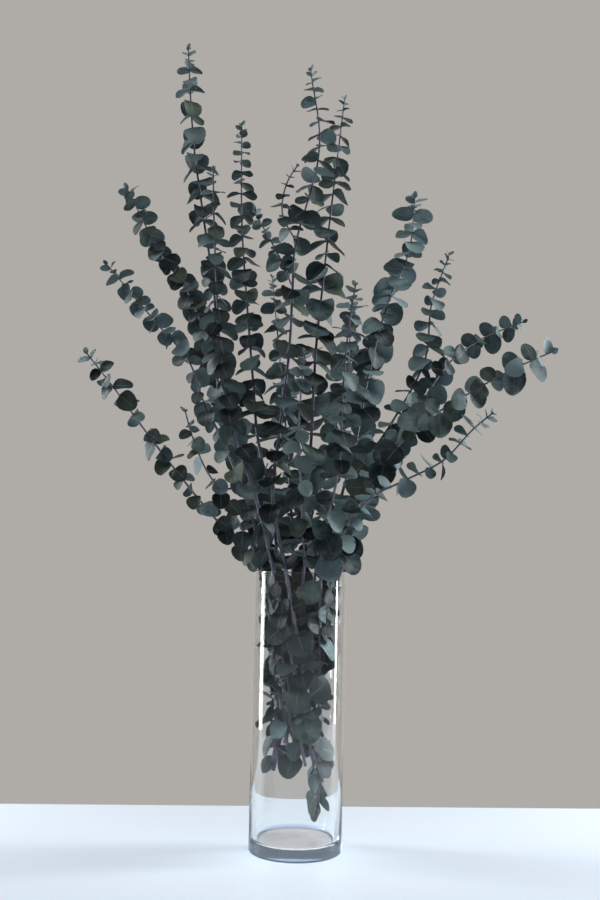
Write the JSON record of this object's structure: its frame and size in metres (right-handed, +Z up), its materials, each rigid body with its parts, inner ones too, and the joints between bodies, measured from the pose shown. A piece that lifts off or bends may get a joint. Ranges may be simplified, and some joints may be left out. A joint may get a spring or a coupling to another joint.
{
  "type": "eucalyptus branches in a glass vase",
  "caption": "Loose bunch of leafy eucalyptus branches with small round leaves in crossed pairs, standing in a tall clear glass cylinder vase.",
  "frame": {"origin": "centre of the underside of the vase, on the surface it stands on", "axes": "+Z up along the vase's axis, +X to the viewer's right in the picture, +Y away from the viewer"},
  "size_m": [0.4918, 0.3866, 0.8472],
  "materials": {
    "glass": "clear, polished",
    "foliage": "matt dark blue-green leaves with a pale bloom, purple-grey stems"
  },
  "bodies": {
    "root": {"vase": "glass", "branch_tall_left": "foliage", "branch_tall_front": "foliage", "branch_tall_right": "foliage", "branch_centre_left": "foliage", "branch_right_back": "foliage", "branch_right_middle": "foliage", "branch_right_low_back": "foliage", "branch_right_low": "foliage", "branch_right_front": "foliage", "branch_left_high": "foliage", "branch_left_middle": "foliage", "branch_left_low": "foliage", "branch_left_front": "foliage", "branch_front_right": "foliage", "branch_front": "foliage", "branch_back_left": "foliage", "branch_back_right": "foliage"}
  },
  "joints": []
}
